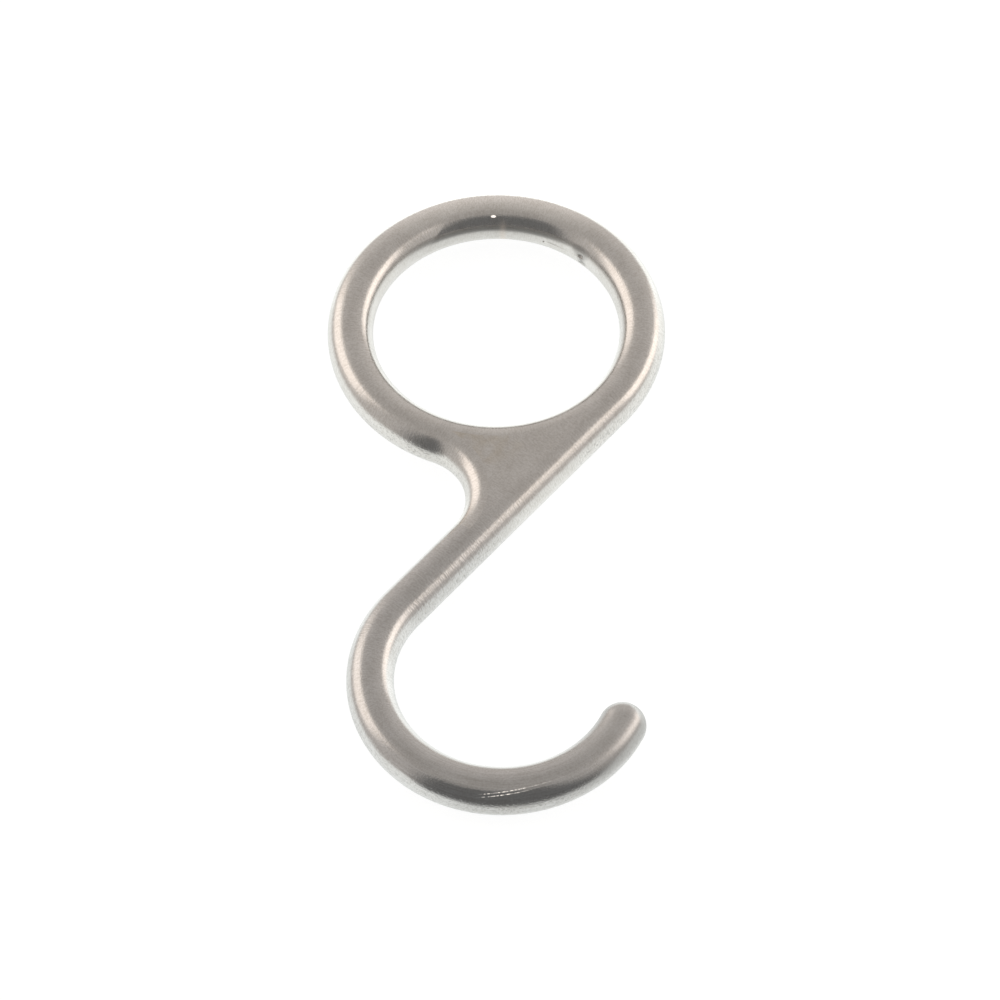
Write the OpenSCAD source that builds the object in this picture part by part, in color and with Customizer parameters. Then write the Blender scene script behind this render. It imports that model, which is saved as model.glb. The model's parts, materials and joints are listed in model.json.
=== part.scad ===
// Rail hook, cast in one piece from stainless steel. A closed ring hangs on the rail, a straight arm
// leaves the ring's side as a tangent, and an open bend with a round tip carries the utensil.
// Everywhere the section is a round bar, and a flat web fills the corner between the ring and the arm.

/* [Bar] */
// Diameter of the round bar that the ring and the bend are made of
bar_d = 4.35; // [3:0.05:6]

/* [Ring] */
// Clear diameter inside the closed ring, which goes over the rail
ring_clear_d = 23.5; // [18:0.1:30]

/* [Hook] */
// Overall length, from the top of the ring to the bottom of the bend
hook_length = 70; // [60:0.5:100]
// Clear diameter inside the bend, where the utensil hangs
throat_d = 19.7; // [14:0.1:26]
// Angle that the bend turns through, from the end of the arm to the tip
bend_angle = 194.5; // [120:0.5:220]

/* [Web] */
// Radius of the hollow fillet that edges the web between the ring and the arm
fillet_r = 5.3; // [2:0.1:8]

/* [Hidden] */
$fn = 96;
steel = [0.70, 0.68, 0.65];

// Radii of the bar, and of the ring and the bend along the middle of the bar
bar_r = bar_d / 2;
ring_r = ring_clear_d / 2 + bar_r;
bend_r = throat_d / 2 + bar_r;

// The origin is the ring's centre. The bend's centre lies straight below it, on the Y axis
centre_drop = hook_length - ring_r - bend_r - bar_d;

// The arm touches the ring on its right and the bend on its left, so it crosses the Y axis at a slope
arm_slope = acos((ring_r + bend_r) / centre_drop);
arm_length = sqrt(pow(centre_drop, 2) - pow(ring_r + bend_r, 2));

// The arm starts this far inside the ring's bar, and the web lies as far again inside the arm's,
// so their round faces cross along clean lines
seam_depth = 0.01;
arm_start_r = bar_r - seam_depth;
web_r = arm_start_r - seam_depth;

// How far the edge of the web runs into the bar on the far side of its middle, still below its surface
web_lap = sqrt(pow(arm_start_r, 2) - pow(web_r, 2)) / 2;

// The fillet touches the ring and the arm, and takes up no more than this share of the arm
fillet_room_share = 0.95;
fillet_room = pow(arm_length * fillet_room_share, 2) / (4 * ring_r);
fillet_mid_r = min(fillet_r + web_r, fillet_room);

// With the arm upright: how far down it the fillet ends, and the angle of the ring beside the web
web_reach = 2 * sqrt(ring_r * fillet_mid_r);
web_angle = acos((ring_r - fillet_mid_r) / (ring_r + fillet_mid_r));
fillet_centre = [ring_r - fillet_mid_r, -web_reach];
bend_centre = [ring_r + bend_r, -arm_length];

// Ring: the bar turned full circle round the origin
module ring() {
    rotate_extrude()
        translate([ring_r, 0])
            circle(r = bar_r);
}

// Arm, upright beside the ring, from its side down to the bend
module arm() {
    translate([ring_r, 0, 0])
        rotate([90, 0, 0])
            cylinder(r1 = arm_start_r, r2 = bar_r, h = arm_length);
}

// Web: a flat plate between the ring, the arm and the fillet
module web() {
    linear_extrude(2 * web_r, center = true)
        difference() {
            polygon([
                [0, 0],
                [ring_r + web_lap, 0],
                [ring_r + web_lap, -web_reach],
                fillet_centre
            ]);
            circle(r = ring_r - web_lap);
            translate(fillet_centre)
                circle(r = fillet_mid_r);
        }
    web_edge();
}

// Round edge of the web along the fillet: the half of a bar that faces the fillet's centre
module web_edge() {
    translate(fillet_centre)
        rotate_extrude(angle = 180 - web_angle)
            intersection() {
                translate([fillet_mid_r, 0])
                    circle(r = web_r);
                translate([fillet_mid_r - bar_d, -bar_d])
                    square([bar_d, 2 * bar_d]);
            }
}

// Bend: the bar turned round the throat, closed by its tip
module bend() {
    translate(bend_centre)
        rotate(180) {
            rotate_extrude(angle = bend_angle)
                translate([bend_r, 0])
                    circle(r = bar_r);
            rotate(bend_angle)
                translate([bend_r, 0, 0])
                    rotate([-90, 0, 0])
                        tip();
        }
}

// Tip: half a ball on the end of the bar
module tip() {
    rotate_extrude()
        intersection() {
            circle(r = bar_r);
            square(bar_d);
        }
}

// The whole casting, turned from arm upright to bend straight below ring
module hook() {
    color(steel)
        rotate(arm_slope - 90) {
            ring();
            arm();
            web();
            bend();
        }
}

hook();
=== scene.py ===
import json

import bpy
import numpy as np
from mathutils import Matrix, Vector


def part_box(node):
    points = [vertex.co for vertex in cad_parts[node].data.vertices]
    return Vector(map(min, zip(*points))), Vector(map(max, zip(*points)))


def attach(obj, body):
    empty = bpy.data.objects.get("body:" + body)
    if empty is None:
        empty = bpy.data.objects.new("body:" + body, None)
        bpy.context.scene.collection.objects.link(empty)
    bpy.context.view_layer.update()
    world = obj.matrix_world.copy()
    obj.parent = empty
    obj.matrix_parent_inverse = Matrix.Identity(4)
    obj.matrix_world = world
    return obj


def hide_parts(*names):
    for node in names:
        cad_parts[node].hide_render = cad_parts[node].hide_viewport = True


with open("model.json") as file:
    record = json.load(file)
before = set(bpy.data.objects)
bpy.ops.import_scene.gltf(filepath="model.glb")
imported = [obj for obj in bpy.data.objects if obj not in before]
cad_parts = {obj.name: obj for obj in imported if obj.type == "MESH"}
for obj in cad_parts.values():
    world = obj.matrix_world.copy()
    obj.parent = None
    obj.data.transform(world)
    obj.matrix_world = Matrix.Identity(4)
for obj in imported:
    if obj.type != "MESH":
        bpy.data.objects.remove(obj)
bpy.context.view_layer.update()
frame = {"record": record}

# Hook: one casting of stainless steel. A closed ring goes over the rail, a straight arm leaves the side
# of the ring, a flat web fills the corner between them, and an open bend ends in a round tip. The
# casting is ground and brushed, which leaves it satin all over, with a few marks where it was worked.
MM = 0.001
low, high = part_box("hook")
seat = next(mount["pos_m"] for mount in frame["record"]["mounts"] if mount["name"] == "hook_seat")
bar_r = (high[2] - low[2]) / 2
ring_r = high[1] - bar_r
throat_r = 9.85 * MM
fillet_r = 5.3 * MM
bend_angle = np.radians(194.5)
bend_r = throat_r + bar_r
fillet_mid_r = fillet_r + bar_r

# The arm touches the ring on its right and the bend on its left
centre_drop = -seat[1] - throat_r
arm_turn = np.arccos((ring_r + bend_r) / centre_drop) - np.pi / 2
arm_length = np.sqrt(centre_drop**2 - (ring_r + bend_r) ** 2)
web_reach = 2 * np.sqrt(ring_r * fillet_mid_r)
web_angle = np.arccos((ring_r - fillet_mid_r) / (ring_r + fillet_mid_r))
fillet_angle = np.pi - web_angle

# Steps of the mesh along the bar and round it, and the grid in which points count as one
along_step = 0.2 * MM
fine_step = 0.07 * MM
turns_round = 36
wall_turns = 72
web_columns = 8
weld_gap = 0.0007 * MM


def heading(angle):
    """Unit vectors in the hook's plane, at these angles from +X."""
    return np.stack([np.cos(angle), np.sin(angle)], axis=-1)


def steps(start, end, count):
    """Evenly spaced numbers from start to end, one more than count."""
    return np.linspace(start, end, int(np.ceil(count)) + 1)


def chain(*runs):
    """Runs of samples joined end to end, each starting on the last sample of the one before."""
    return np.concatenate([runs[0]] + [run[1:] for run in runs[1:]])


def bar_side(spine, outward, along, side, turn):
    """Half of the round bar, carried along its spine: a point is the spine's own, plus the bar's radius
    times the cosine of the turn outwards and its sine upwards. The second grid is the same point on a
    straight bar: distance along it, sideways and up."""
    out, up = bar_r * np.cos(turn), np.broadcast_to(bar_r * np.sin(turn), (len(spine), len(turn)))
    plan = spine[:, None] + outward[:, None] * out[:, None]
    length = np.broadcast_to(along[:, None], up.shape)
    sideways = np.broadcast_to(side, len(spine))[:, None] * out
    return np.dstack([plan, up]), np.dstack([length, sideways, up])


def ruled(first, second):
    """Flat surface between two lines in the hook's plane: straight rulings join their points in order."""
    across = np.linspace(0, 1, web_columns + 1)[:, None]
    return first[:, None] + across * (second - first)[:, None]


def ease(value, start, end):
    """0 up to start and 1 from end on, with a smooth run between them."""
    share = np.clip((value - start) / (end - start), 0, 1)
    return share**2 * (3 - 2 * share)


def skin(name, grids):
    """One closed mesh from grids of points: a cell gives two triangles, points that coincide become one,
    and triangles that shrink to a line are dropped. The second grid of each pair becomes an attribute."""
    points = np.concatenate([grid.reshape(-1, 3) for grid, _ in grids])
    places = np.concatenate([place.reshape(-1, 3) for _, place in grids])
    cells, count = [], 0
    for grid, _ in grids:
        index = count + np.arange(grid[..., 0].size).reshape(grid.shape[:2])
        a, b, c, d = index[:-1, :-1], index[1:, :-1], index[1:, 1:], index[:-1, 1:]
        cells.append(np.stack([a, b, c, a, c, d], axis=-1).reshape(-1, 3))
        count += index.size
    corners = np.concatenate(cells)
    keys = np.round(points / weld_gap).astype(np.int64)
    _, first, joined = np.unique(keys, axis=0, return_index=True, return_inverse=True)
    faces = joined.reshape(-1)[corners]
    whole = (faces != np.roll(faces, 1, axis=1)).all(axis=1)
    mesh = bpy.data.meshes.new(name)
    mesh.from_pydata(points[first], [], faces[whole].tolist())
    place = mesh.attributes.new("bar_place", "FLOAT_VECTOR", "CORNER")
    place.data.foreach_set("vector", places[corners[whole]].ravel())
    mesh.shade_smooth()
    piece = bpy.data.objects.new(name, mesh)
    bpy.context.collection.objects.link(piece)
    return piece


arm_out = heading(arm_turn)
arm_down = heading(arm_turn - np.pi / 2)
ring_side = ring_r * arm_out
fillet_centre = (ring_r + fillet_mid_r) * heading(arm_turn - web_angle)
bend_start = ring_side + arm_length * arm_down
bend_centre = bend_start + bend_r * arm_out

# Seam on the ring's inner wall, left where the casting was fed: a low ridge along the middle of the
# wall, which breaks off at a nick above it and a chip below, with a pit beyond its other end. Each of
# these hollows has its place along the wall, its turn, a half length, a half width and a depth
seam_along = np.array([20.4, 21.2, 22.6, 24.0, 25.8]) * MM
seam_turn = np.radians([7, 5, 1, 0, 1])
seam_half = np.radians(5)
seam_height = 0.04 * MM
seam_run_out = 0.25 * MM
nick = (21.1 * MM, np.radians(14), 0.5 * MM, 0.3 * MM, 0.15 * MM)
chip = (20.8 * MM, np.radians(-13), 0.6 * MM, 0.4 * MM, 0.2 * MM)
pit = (26.06 * MM, np.radians(-1), 0.15 * MM, 0.15 * MM, 0.15 * MM)

# Samples that neighbouring stretches share, so that their edges meet point for point. The web's
# edges are cut at their middles, the ring is finer beside the seam, and the turns round its inner wall
# are closest at the middle of the wall
fine_margin = 0.6 * MM
fine_from, fine_to = seam_along[0] - fine_margin, pit[0] + fine_margin
free_length = ring_r * (2 * np.pi - web_angle)
free_turn = chain(
    steps(0, fine_from, fine_from / along_step),
    steps(fine_from, fine_to, (fine_to - fine_from) / fine_step),
    steps(fine_to, free_length, (free_length - fine_to) / along_step),
) / ring_r
side_count = web_reach / 2 / along_step
neck_count = ring_r * web_angle / 2 / along_step
upper_ring = steps(0, web_angle / 2, side_count)
lower_ring = steps(web_angle / 2, web_angle, neck_count)
upper_arm = steps(0, web_reach / 2, side_count)
lower_arm = steps(web_reach / 2, web_reach, side_count)
upper_fillet = steps(fillet_angle, fillet_angle / 2, neck_count)
lower_fillet = steps(fillet_angle / 2, 0, side_count)
bare_arm = steps(web_reach, arm_length, (arm_length - web_reach) / along_step)
bend_turn = steps(0, bend_angle, bend_r * bend_angle / along_step)
tip_turn = steps(0, np.pi, bar_r * np.pi / along_step)
half_turn = steps(-np.pi / 2, np.pi / 2, turns_round)
wall_even = 0.53
wall_share = steps(-1, 1, wall_turns)
wall_turn = np.pi / 2 * (wall_even * wall_share + (1 - wall_even) * wall_share**3)

ring_out = heading(arm_turn + free_turn)
fillet_turn = chain(upper_fillet, lower_fillet)
fillet_out = heading(arm_turn + fillet_turn)
bend_out = heading(arm_turn + np.pi + bend_turn)
tip_out = heading(arm_turn + np.pi + bend_angle + tip_turn)
arm_right = chain(upper_arm, lower_arm, bare_arm)[::-1]
wall_along = chain(-chain(upper_ring, lower_ring)[::-1], free_turn)[::-1]
wall_out = heading(arm_turn + wall_along)

# The ring's inner wall, raised along the seam and sunk at the nick, the chip and the pit
wall, wall_place = bar_side(ring_r * wall_out, -wall_out, ring_r * wall_along, -1, wall_turn)
wall_s = ring_r * wall_along[:, None]
off_seam = np.abs(wall_turn - np.interp(wall_s, seam_along, seam_turn)) / seam_half
on_seam = ease(wall_s, seam_along[0], seam_along[0] + seam_run_out)
on_seam = on_seam * (1 - ease(wall_s, seam_along[-1] - seam_run_out, seam_along[-1]))
raised = seam_height * on_seam * (1 - ease(off_seam, 0, 1))
for hollow_along, hollow_turn, half_long, half_wide, depth in (nick, chip, pit):
    off_hollow = np.hypot((wall_s - hollow_along) / half_long, bar_r * (wall_turn - hollow_turn) / half_wide)
    raised = raised - depth * (1 - ease(off_hollow, 0, 1))
wall_face = np.dstack([
    -wall_out[:, None] * np.cos(wall_turn)[:, None],
    np.broadcast_to(np.sin(wall_turn), raised.shape),
])
wall = wall + raised[..., None] * wall_face

grids = [
    bar_side(ring_r * ring_out, ring_out, ring_r * free_turn, 1, half_turn),
    (wall, wall_place),
    bar_side(
        fillet_centre + fillet_mid_r * fillet_out,
        -fillet_out,
        free_length + fillet_mid_r * (fillet_angle - fillet_turn),
        1,
        half_turn,
    ),
    bar_side(
        ring_side + bare_arm[:, None] * arm_down,
        np.broadcast_to(-arm_out, (len(bare_arm), 2)),
        -bare_arm,
        -1,
        half_turn,
    ),
    bar_side(
        ring_side + arm_right[:, None] * arm_down,
        np.broadcast_to(arm_out, (len(arm_right), 2)),
        -arm_right,
        1,
        half_turn,
    ),
    bar_side(bend_centre + bend_r * bend_out, bend_out, -arm_length - bend_r * bend_turn, -1, half_turn),
    bar_side(
        bend_centre + bend_r * bend_out[::-1],
        -bend_out[::-1],
        -arm_length - bend_r * bend_turn[::-1],
        1,
        half_turn,
    ),
    bar_side(
        np.broadcast_to(bend_centre + bend_r * bend_out[-1], tip_out.shape),
        tip_out,
        -arm_length - bend_r * bend_angle - bar_r * np.sin(tip_turn),
        -np.cos(tip_turn),
        half_turn,
    ),
]

# Web: flat on both faces. A horn runs out to nothing in each of its corners, and a triangle between the
# middles of its three edges fills the rest
web_mid = np.stack([
    ring_r * heading(arm_turn - web_angle / 2),
    ring_side + web_reach / 2 * arm_down,
    fillet_centre + fillet_mid_r * heading(arm_turn + fillet_angle / 2),
])
mid_share = np.linspace(0, 1, web_columns + 1)[:, None]
web_plans = [
    ruled(ring_r * heading(arm_turn - upper_ring), ring_side + upper_arm[:, None] * arm_down),
    ruled(
        ring_side + lower_arm[::-1, None] * arm_down,
        fillet_centre + fillet_mid_r * heading(arm_turn + lower_fillet[::-1]),
    ),
    ruled(
        fillet_centre + fillet_mid_r * heading(arm_turn + upper_fillet),
        ring_r * heading(arm_turn - lower_ring[::-1]),
    ),
    ruled(
        web_mid[2] + mid_share * (web_mid[1] - web_mid[2]),
        web_mid[2] + mid_share * (web_mid[0] - web_mid[2]),
    ),
]
for plan in web_plans:
    for face_z, order in ((bar_r, 1), (-bar_r, -1)):
        level = np.full(plan.shape[:2], face_z)
        place = np.dstack([-(plan - ring_side) @ arm_down, (plan - ring_side) @ arm_out, level])
        grids.append((np.dstack([plan, level])[:, ::order], place[:, ::order]))

hook = skin("hook_casting", grids)
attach(hook, "root")
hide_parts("hook")


class Shade:
    """A socket of a shader tree. Sums and products of sockets add Math nodes, so shader maths reads as
    plain arithmetic, and node() adds any other node."""

    def __init__(self, tree, socket=None):
        self.tree = tree
        self.socket = socket

    def node(self, kind, settings=None, inputs=None, outputs=(0,)):
        """A new node of that kind: its settings are set first, then its sockets are linked or filled, and
        the outputs that are asked for come back."""
        made = self.tree.nodes.new(kind)
        for key, value in (settings or {}).items():
            setattr(made, key, value)
        for key, value in (inputs or {}).items():
            if isinstance(value, Shade):
                self.tree.links.new(value.socket, made.inputs[key])
            else:
                made.inputs[key].default_value = value
        results = [Shade(self.tree, made.outputs[key]) for key in outputs]
        return results[0] if len(results) == 1 else results

    def math(self, operation, *values):
        """A Math node with that operation on these values."""
        return self.node("ShaderNodeMath", {"operation": operation}, dict(enumerate(values)))

    def ease(self, start, end):
        """0 up to start and 1 from end on, with a smooth run between them."""
        ends = {"Value": self, "From Min": start, "From Max": end}
        return self.node("ShaderNodeMapRange", {"interpolation_type": "SMOOTHSTEP"}, ends)

    def blend(self, first, second):
        """First colour where this value is 0, second where it is 1."""
        colours = {"Factor": self, 6: first, 7: second}
        return self.node("ShaderNodeMix", {"data_type": "RGBA"}, colours, (2,))

    def __add__(self, other):
        return self.math("ADD", self, other)

    def __sub__(self, other):
        return self.math("SUBTRACT", self, other)

    def __rsub__(self, other):
        return self.math("SUBTRACT", other, self)

    def __mul__(self, other):
        return self.math("MULTIPLY", self, other)

    __radd__ = __add__
    __rmul__ = __mul__


def new_material(name, piece):
    """An empty node material on a piece."""
    material = bpy.data.materials.new(name)
    material.use_nodes = True
    material.node_tree.nodes.clear()
    piece.data.materials.append(material)
    return Shade(material.node_tree)


def bar_noise(length, width, detail):
    """Noise from 0 to 1 that follows the bar, in spots of that length along it and that width across."""
    density = (1 / length, 1 / width, 1 / width)
    spread = steel.node("ShaderNodeVectorMath", {"operation": "MULTIPLY"}, {0: bar_place, 1: density})
    return steel.node("ShaderNodeTexNoise", inputs={"Vector": spread, "Scale": 1.0, "Detail": detail})


steel = new_material("satin_stainless", hook)
bar_place = steel.node("ShaderNodeAttribute", {"attribute_name": "bar_place"}, outputs=("Vector",))
along, sideways, up = steel.node("ShaderNodeSeparateXYZ", inputs={0: bar_place}, outputs=(0, 1, 2))
turn = steel.math("ARCTAN2", up, sideways)


def stripe(offset, full, half):
    """1 up to full off a line and 0 from half off it on, with a smooth run between them."""
    return 1 - steel.math("ABSOLUTE", offset).ease(full, half)


def spot(along_off, across_off, inner):
    """An oval spot, from offsets that are shares of its half sizes: the sum of their squares runs smoothly
    from inner, where the spot is 1, to the edge, where it is 0."""
    return 1 - (along_off * along_off + across_off * across_off).ease(inner, 1.0)


# Finish: brushing leaves fine strokes across the bar, hardest on the lower arm, a grain of small spots,
# fainter lines along the bar, and broad patches where the brush bit less. On the bend the lines take
# over from the strokes, less so at the tip. Pairs of places are the ends of smooth runs
stroke_long, stroke_wide = 0.11 * MM, 0.7 * MM
grain_size = 0.17 * MM
line_long, line_wide = 5 * MM, 0.16 * MM
patch_long, patch_wide = 2.2 * MM, 1.6 * MM
brush_in, brush_out = (-44 * MM, -36 * MM), (-24 * MM, -14 * MM)
bend_run, tip_run = (-50 * MM, -42 * MM), (-69 * MM, -60 * MM)
tip_unlined = 0.6
strokes = bar_noise(stroke_long, stroke_wide, detail=1)
grain = bar_noise(grain_size, grain_size, detail=1)
lines = bar_noise(line_long, line_wide, detail=1)
patches = bar_noise(patch_long, patch_wide, detail=3)
brushed = along.ease(*brush_in) * (1 - along.ease(*brush_out))
on_bend = 1 - along.ease(*bend_run)
on_tip = 1 - along.ease(*tip_run)
lined = on_bend * (1 - tip_unlined * on_tip)

# The ring's inner wall is rougher, with a dull line along its upper half that lies lower and shows more
# at the top of the ring; painted shade darkens the line's colour. The upper side of the ring's top has a
# painted highlight, painted brighter
ring_run = (8 * MM, 16 * MM)
wall_edge = (-0.95 * bar_r, -0.75 * bar_r)
top_in, top_out = (18 * MM, 28 * MM), (36 * MM, 46 * MM)
dull_shade_run = (2 * MM, 6 * MM)
dull_shade_turn, dull_shade_top_turn = np.radians(145), np.radians(14)
dull_shade_core, dull_shade_half = np.radians(2), np.radians(12)
dull_shade_share, dull_shade_top_share = 0.2, 0.5
top_highlight_up, top_highlight_side = (0, 0.6 * bar_r), (-0.5 * bar_r, -0.2 * bar_r)
on_ring = along.ease(*ring_run)
on_wall = on_ring * (1 - sideways.ease(*wall_edge))
on_top = along.ease(*top_in) * (1 - along.ease(*top_out))
dull_shaded_line = stripe(turn - (dull_shade_turn + dull_shade_top_turn * on_top), dull_shade_core, dull_shade_half)
dull_shaded_line = dull_shaded_line * along.ease(*dull_shade_run) * (dull_shade_share + dull_shade_top_share * on_top)
top_painted_highlight = on_top * up.ease(*top_highlight_up) * sideways.ease(*top_highlight_side)

# Small pits are left on the sides of the bend and the lower arm, where the arm joins the ring, and by the
# fillet. They are sunk into the relief, and painted shade darkens the colour in them
pit_long, pit_wide = 0.24 * MM, 0.2 * MM
pit_edge = (0.54, 0.67)
side_run = (0, 0.75 * bar_r)
lower_arm_run, joint_run, fillet_run = (-20 * MM, -15 * MM), (-10 * MM, -5 * MM), (58 * MM, 66 * MM)
on_side = 1 - up.ease(*side_run)
by_fillet = along.ease(*fillet_run)
pit_zone = 1 - along.ease(*lower_arm_run) + along.ease(*joint_run) - on_ring + by_fillet
pits = bar_noise(pit_long, pit_wide, detail=2).ease(*pit_edge) * on_side * pit_zone

# The web is faintly stained. The inside of the bend has a painted highlight where it starts, the lower half
# of the hook has painted shade, darker and cooler, and the side of the tip has painted shade
web_side, web_face = (-2 * bar_r, -0.5 * bar_r), (0.9 * bar_r, 0.99 * bar_r)
stain_long, stain_wide = 2.6 * MM, 2 * MM
stain_edge = (0.4, 0.6)
bend_highlight_in, bend_highlight_out = (-43 * MM, -40 * MM), (-34 * MM, -30 * MM)
bend_highlight_side = (0.35 * bar_r, 0.7 * bar_r)
lower_shade_run = (-24 * MM, -12 * MM)
tip_shade_low, tip_shade_high = (-0.15 * bar_r, 0.4 * bar_r), (0.6 * bar_r, 0.8 * bar_r)
tip_shade_share = 0.55
on_web = (1 - sideways.ease(*web_side)) * steel.math("ABSOLUTE", up).ease(*web_face)
stain = bar_noise(stain_long, stain_wide, detail=3).ease(*stain_edge) * on_web
bend_painted_highlight = along.ease(*bend_highlight_in) * (1 - along.ease(*bend_highlight_out)) * sideways.ease(*bend_highlight_side)
lower_painted_shade = 1 - along.ease(*lower_shade_run)
tip_painted_shade = on_tip * up.ease(*tip_shade_low) * (1 - up.ease(*tip_shade_high)) * tip_shade_share

# Twin scratch on the outside of the bend: it sinks towards the lowest point of a parabola on the bar, and
# glints in beads
scratch_low = -62.0 * MM
scratch_turn = np.radians(119)
scratch_rise = np.radians(0.43) / MM**2
scratch_gap = 0.27 * MM
scratch_half = 0.075 * MM
scratch_from = (-55.9 * MM, -55.1 * MM)
upper_to, lower_to = (-64 * MM, -57.5 * MM), (-60.5 * MM, -57.5 * MM)
bead_long, bead_wide = 0.2 * MM, 0.3 * MM
bead_edge = (0.35, 0.6)
between_beads, bead_glint = 0.35, 0.6
scratch_run = along - scratch_low
scratch_off = (turn - scratch_run * scratch_run * scratch_rise - scratch_turn) * bar_r
beads = bar_noise(bead_long, bead_wide, detail=1).ease(*bead_edge)
upper_line = stripe(scratch_off + scratch_gap / 2, 0.0, scratch_half) * along.ease(*upper_to)
lower_line = stripe(scratch_off - scratch_gap / 2, 0.0, scratch_half) * along.ease(*lower_to)
scratch = (upper_line + lower_line) * (1 - along.ease(*scratch_from))
scratch = scratch * (between_beads + bead_glint * beads)

# Painted glint: a small lighter spot at the top of the ring's inner wall that leans to catch a panel, and
# a faint line beside it that the polish missed
painted_glint_along, painted_glint_turn = 31.89 * MM, np.radians(128)
painted_glint_long, painted_glint_wide = 0.34 * MM, 0.16 * MM
painted_glint_core = 0.3
witness_along, witness_half = 30.86 * MM, 0.6 * MM
mid_wall = (-0.9 * bar_r, -0.6 * bar_r)
painted_glint = spot((along - painted_glint_along) * (1 / painted_glint_long), (turn - painted_glint_turn) * (bar_r / painted_glint_wide), painted_glint_core)
on_mid_wall = 1 - sideways.ease(*mid_wall)
witness = stripe(along - witness_along, 0.0, witness_half) * on_mid_wall

# Matte scar round the nick on the ring's inner wall, and the splintered dark flaw from there to the chip
scar_along, scar_turn = 21.2 * MM, np.radians(157)
scar_long, scar_wide = 1.5 * MM, 0.9 * MM
flaw_along, flaw_up = 20.9 * MM, -0.15 * MM
flaw_long, flaw_wide = 0.8 * MM, 0.85 * MM
flaw_core = 0.2
splinter_long, splinter_wide = 0.5 * MM, 0.25 * MM
splinter_edge = (0.4, 0.6)
between_splinters = 0.25
scar = spot((along - scar_along) * (1 / scar_long), (turn - scar_turn) * (bar_r / scar_wide), 0.0)
splinters = bar_noise(splinter_long, splinter_wide, detail=2).ease(*splinter_edge)
flaw = spot((along - flaw_along) * (1 / flaw_long), (up - flaw_up) * (1 / flaw_wide), flaw_core)
flaw = flaw * on_mid_wall * (between_splinters + (1 - between_splinters) * splinters)

# Lean in the finish on the upper half of the ring's inner wall, left of its top: it starts at a slanting
# edge, where the dark reflection on the top of the ring stops short, and runs out on the other side
facet_along, facet_turn = 38.6 * MM, np.radians(150)
facet_slant = 3.2 * MM
facet_edge, facet_out = (-0.25 * MM, 0.25 * MM), (38 * MM, 42.5 * MM)
facet_up, facet_side = (0, 0.2 * bar_r), (-0.5 * bar_r, -0.2 * bar_r)
facet_lean = (0.13, 0.078, 0.0)
facet_run = along - facet_along - (turn - facet_turn) * facet_slant
facet = facet_run.ease(*facet_edge) * (1 - along.ease(*facet_out))
facet = facet * up.ease(*facet_up) * (1 - sideways.ease(*facet_side))

# The relief of the finish. The burr of the scratches, and the painted glint spot, lean to one side, so they
# glint
stroke_height, stroke_even, stroke_brushed, stroke_lined = 0.007 * MM, 0.5, 2.3, 0.35
grain_height = 0.008 * MM
line_height, line_gain = 0.003 * MM, 2
pit_sink = 0.012 * MM
burr_and_glint_lean = (0.6, 0.42, 0.0)
stroke_gain = stroke_even + stroke_brushed * brushed - stroke_lined * lined
relief = strokes * stroke_height * stroke_gain + grain * grain_height
relief = relief + lines * line_height * (1 + line_gain * lined) - pits * pit_sink
bump = steel.node("ShaderNodeBump", inputs={"Strength": 1.0, "Distance": 1.0, "Height": relief})
# The real scratches and the painted glint spot take lighter steel, a painted highlight
scratch_and_glint = steel.math("MAXIMUM", scratch, painted_glint)
facet_slope = steel.node("ShaderNodeVectorMath", {"operation": "SCALE"}, {0: facet_lean, "Scale": facet})
burr_and_glint_slope = steel.node("ShaderNodeVectorMath", {"operation": "SCALE"}, {0: burr_and_glint_lean, "Scale": scratch_and_glint})
faceted = steel.node("ShaderNodeVectorMath", inputs={0: bump, 1: facet_slope})
burred_and_glinting = steel.node("ShaderNodeVectorMath", inputs={0: faceted, 1: burr_and_glint_slope})
facing = steel.node("ShaderNodeVectorMath", {"operation": "NORMALIZE"}, {0: burred_and_glinting})

# Colours: flecks from dark to light steel, tinted by the stain, with painted shade on the lower half and
# painted highlights on the top of the ring and inside the bend. The scar and the flaw are darker, painted
# shade darkens the pits, the dull line and the side of the tip, and the scratches and the glint spot take
# lighter steel, a painted highlight
steel_colour = np.array(frame["record"]["materials"][0]["base_color"])
dark_steel = (*steel_colour * np.array([0.875, 0.858, 0.835]), 1)
light_steel = (*steel_colour * 1.1, 1)
flaw_and_shade_steel = (*steel_colour * 0.45, 1)
plain_tint, lower_shade_tint, stain_tint = (1, 1, 1, 1), (0.89, 0.9, 0.915, 1), (0.965, 0.935, 0.88, 1)
witness_colour, scratch_and_glint_steel = (0.76, 0.66, 0.57, 1), (0.9, 0.88, 0.85, 1)
fleck_edge, patch_edge, patch_share = (0.3, 0.65), (0.3, 0.7), 0.3
top_highlight_gain, bend_highlight_gain = 0.33, 0.07
pit_shade, pit_shade_off_bend, scar_darkness, flaw_darkness = 0.25, 0.25, 0.4, 0.85
witness_weight = 0.4
streaks = strokes * (1 - lined) + lines * lined
fleck = ((grain + streaks) * 0.5).ease(*fleck_edge) * (1 - patch_share)
fleck = fleck + patches.ease(*patch_edge) * patch_share
tone = fleck.blend(dark_steel, light_steel)
stain_and_shade_tint = stain.blend(lower_painted_shade.blend(plain_tint, lower_shade_tint), stain_tint)
stained_and_shaded = steel.node("ShaderNodeVectorMath", {"operation": "MULTIPLY"}, {0: tone, 1: stain_and_shade_tint})
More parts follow.
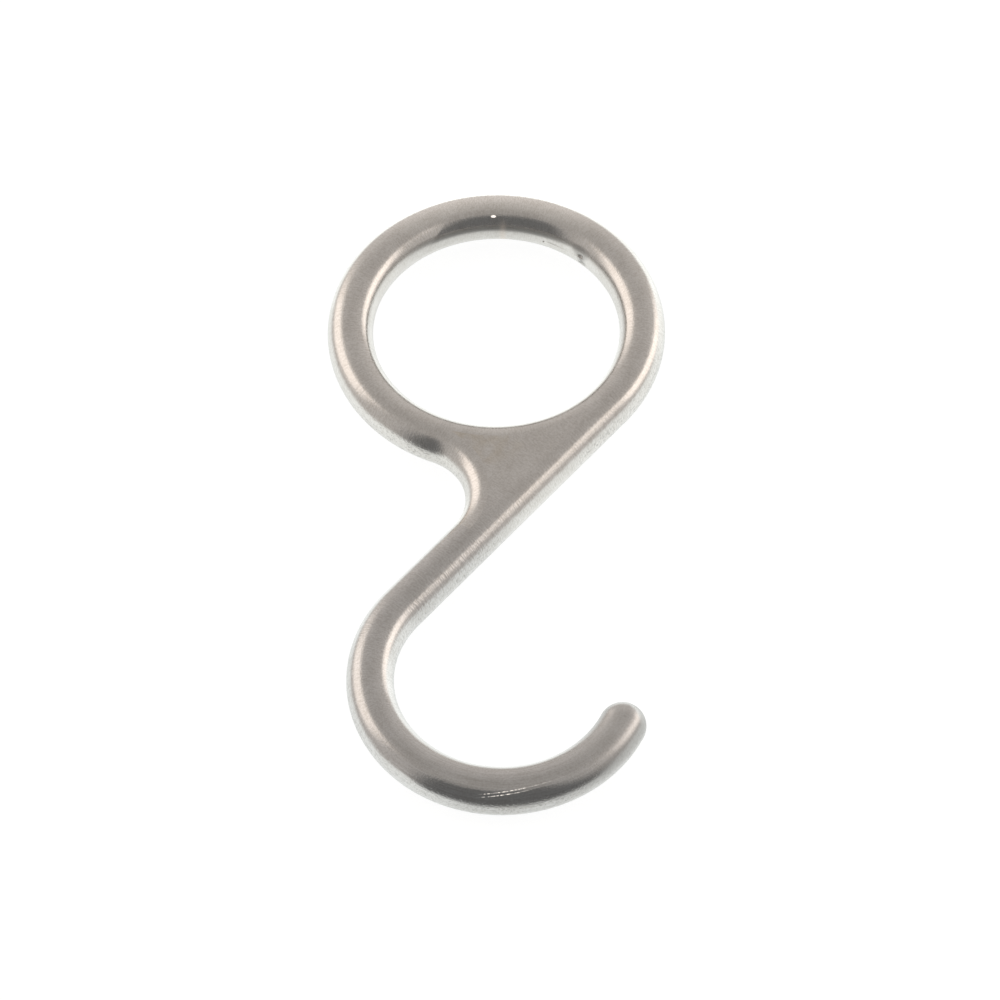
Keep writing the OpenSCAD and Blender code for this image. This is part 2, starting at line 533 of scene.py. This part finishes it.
# Painted highlights: the top of the ring and the inside of the bend are painted brighter
painted_highlight_gain = 1 + top_highlight_gain * top_painted_highlight + bend_highlight_gain * bend_painted_highlight
highlighted_tone = steel.node("ShaderNodeVectorMath", {"operation": "SCALE"}, {0: stained_and_shaded, "Scale": painted_highlight_gain})
flaws_and_painted_shade = pits * (pit_shade + pit_shade_off_bend * (1 - on_bend))
flaws_and_painted_shade = flaws_and_painted_shade + scar * scar_darkness + dull_shaded_line + flaw * flaw_darkness + tip_painted_shade
flawed_and_shaded = flaws_and_painted_shade.blend(highlighted_tone, flaw_and_shade_steel)
colour = scratch_and_glint.blend((witness * witness_weight).blend(flawed_and_shaded, witness_colour), scratch_and_glint_steel)

# Roughness: even on the whole, and higher wherever the finish is dull
even_rough, patch_rough, side_rough, wall_rough = 0.16, 0.06, 0.05, 0.08
tip_rough, fillet_rough, scar_rough, dull_rough = 0.12, 0.07, 0.15, 0.15
witness_film = 0.2
roughness = even_rough + patch_rough * patches + side_rough * on_side + wall_rough * on_wall
roughness = roughness + tip_rough * on_tip + fillet_rough * by_fillet * on_side
roughness = roughness + scar_rough * scar + dull_rough * dull_shaded_line
steel_shader = steel.node(
    "ShaderNodeBsdfPrincipled",
    inputs={
        "Base Color": colour,
        "Metallic": 1 - witness_film * witness,
        "Roughness": roughness,
        "Normal": facing,
    },
)
steel.node("ShaderNodeOutputMaterial", inputs={"Surface": steel_shader}, outputs=())

# Floor: a plain white table top that the hook lies on. It is lit from below as a light table is, so
# only a faint shadow shows where the bar comes close to it.
floor_half = 2.0
floor_grey = (0.3, 0.3, 0.3, 1)
floor_glow = 0.89
floor_mesh = bpy.data.meshes.new("floor")
floor_plan = floor_half * np.array([[-1, -1], [1, -1], [1, 1], [-1, 1]])
floor_mesh.from_pydata(np.column_stack([floor_plan, np.full(4, low[2])]), [], [[0, 1, 2, 3]])
floor = bpy.data.objects.new("floor", floor_mesh)
bpy.context.collection.objects.link(floor)
floor.visible_glossy = False
white = new_material("white_table", floor)
white_shader = white.node(
    "ShaderNodeBsdfPrincipled",
    inputs={
        "Base Color": floor_grey,
        "Roughness": 1.0,
        "Specular IOR Level": 0.0,
        "Emission Color": (1, 1, 1, 1),
        "Emission Strength": floor_glow,
    },
)
white.node("ShaderNodeOutputMaterial", inputs={"Surface": white_shader}, outputs=())

# Light: a pale grey studio with a soft panel on each side, a dark gap on the near side and the bright
# table below. Bearings run from +Y over +X and heights from the horizon, both in degrees.
world = bpy.data.worlds.new("studio")
bpy.context.scene.world = world
world.use_nodes = True
world.node_tree.nodes.clear()
studio = Shade(world.node_tree)
direction = studio.node("ShaderNodeTexCoord", outputs=("Generated",))
east, north, upward = studio.node("ShaderNodeSeparateXYZ", inputs={0: direction}, outputs=(0, 1, 2))
bearing = studio.math("ARCTAN2", east, north) * np.degrees(1)
from_south = studio.math("ARCTAN2", east, north * -1) * np.degrees(1)
height = studio.math("ARCSINE", upward) * np.degrees(1)


def between(value, start, end, soft):
    """1 between start and end and 0 outside them, with a smooth run as wide as soft on each side."""
    return value.ease(start - soft, start + soft) * (1 - value.ease(end - soft, end + soft))


def panel(bearings, heights, slope, soft_side, soft_edge):
    """A soft panel of light between these bearings and heights, its edges rising by the slope."""
    level = height - (bearing - sum(bearings) / 2) * slope
    return between(bearing, *bearings, soft_side) * between(level, *heights, soft_edge)


# The room: paler on the far side and darker overhead, with a panel on the left and one on the right
near_grey, far_grey, zenith_grey = (0.605, 0.585, 0.57, 1), (0.69, 0.66, 0.64, 1), (0.44, 0.425, 0.41, 1)
left_light, right_light = (1.46, 1.355, 1.28, 1), (1.7, 1.58, 1.495, 1)
far_run, zenith_run = (-0.6, 0.6), (0, 90)
horizon = north.ease(*far_run).blend(near_grey, far_grey)
room = height.ease(*zenith_run).blend(horizon, zenith_grey)
left = panel(bearings=(-89, -36), heights=(3, 40), slope=-0.3, soft_side=11, soft_edge=8)
right = panel(bearings=(45.5, 99), heights=(4, 31), slope=0.5, soft_side=11, soft_edge=7)
room = right.blend(left.blend(room, left_light), right_light)

# The dark gap: its right end slants, and it ends below the zenith
gap_dark = (0.172, 0.175, 0.178, 1)
gap_left, gap_right, gap_top = (-62, -46), (47, 73), (48, 68)
gap_slant = 0.5
gap_reach = (1 - (from_south + height * gap_slant).ease(*gap_right)) * from_south.ease(*gap_left)
room = (gap_reach * (1 - height.ease(*gap_top))).blend(room, gap_dark)

# The table: its edge rises towards the right, the far right and the near left, and falls on the far side
# and under the gap. It is brightest in those two corners, on the far side and by the right panel. A mix
# takes a share of 1 at most, so it runs to twice white
table_level, table_soft = -8, 8
corner_start, far_start, panel_side, panel_soft = 0.25, 0.5, (40, 100), 15
edge_east, edge_corner, edge_far, edge_gap = 6, 30, -6, -15
bright, bright_sides, bright_east, bright_corner = 0.95, 0.2, -0.08, 1.2
bright_up, bright_far, bright_panel, bright_gap = -0.15, 0.45, 0.12, -0.07
table_black, twice_white = (0, 0, 0, 1), (1.93, 2, 2, 1)
in_corner = studio.math("MAXIMUM", north * east - corner_start, 0.0)
far_side = north.ease(far_start, 1.0)
by_panel = between(bearing, *panel_side, panel_soft)
table_edge = edge_east * east + edge_corner * in_corner + edge_far * far_side
table_edge = table_edge + edge_gap * gap_reach + table_level
table = 1 - height.ease(table_edge - table_soft, table_edge + table_soft)
table_bright = bright + bright_sides * east * east + bright_east * east + bright_corner * in_corner
table_bright = table_bright + bright_up * upward + bright_far * far_side
table_bright = table_bright + bright_panel * by_panel + bright_gap * gap_reach
table_light = (table_bright * 0.5).blend(table_black, twice_white)
around = table.blend(room, table_light)
sky = studio.node("ShaderNodeBackground", inputs={"Color": around, "Strength": 1.0})
plain = studio.node("ShaderNodeBackground", inputs={"Color": (1, 1, 1, 1), "Strength": 1.0})
seen = studio.node("ShaderNodeLightPath", outputs=("Is Camera Ray",))
surround = studio.node("ShaderNodeMixShader", inputs={0: seen, 1: sky, 2: plain})
studio.node("ShaderNodeOutputWorld", inputs={"Surface": surround}, outputs=())

# Camera: a long lens that looks down on the hook from the foot of its bend, as the photograph does.
aim = Vector((0.071, -19.776, 0)) * MM
camera_distance = 476 * MM
camera_height = np.radians(54.66)
camera_roll = np.radians(-0.99)
image_px = 1000
focal_px = 5109
camera_data = bpy.data.cameras.new("camera")
camera_data.sensor_width = 36
camera_data.lens = camera_data.sensor_width * focal_px / image_px
camera = bpy.data.objects.new("camera", camera_data)
bpy.context.collection.objects.link(camera)
bpy.context.scene.camera = camera
back = Vector((0, -np.cos(camera_height), np.sin(camera_height)))
turned = Matrix.Rotation(np.pi / 2 - camera_height, 4, "X") @ Matrix.Rotation(camera_roll, 4, "Z")
camera.matrix_world = Matrix.Translation(aim + camera_distance * back) @ turned
bpy.context.scene.view_settings.view_transform = "Standard"
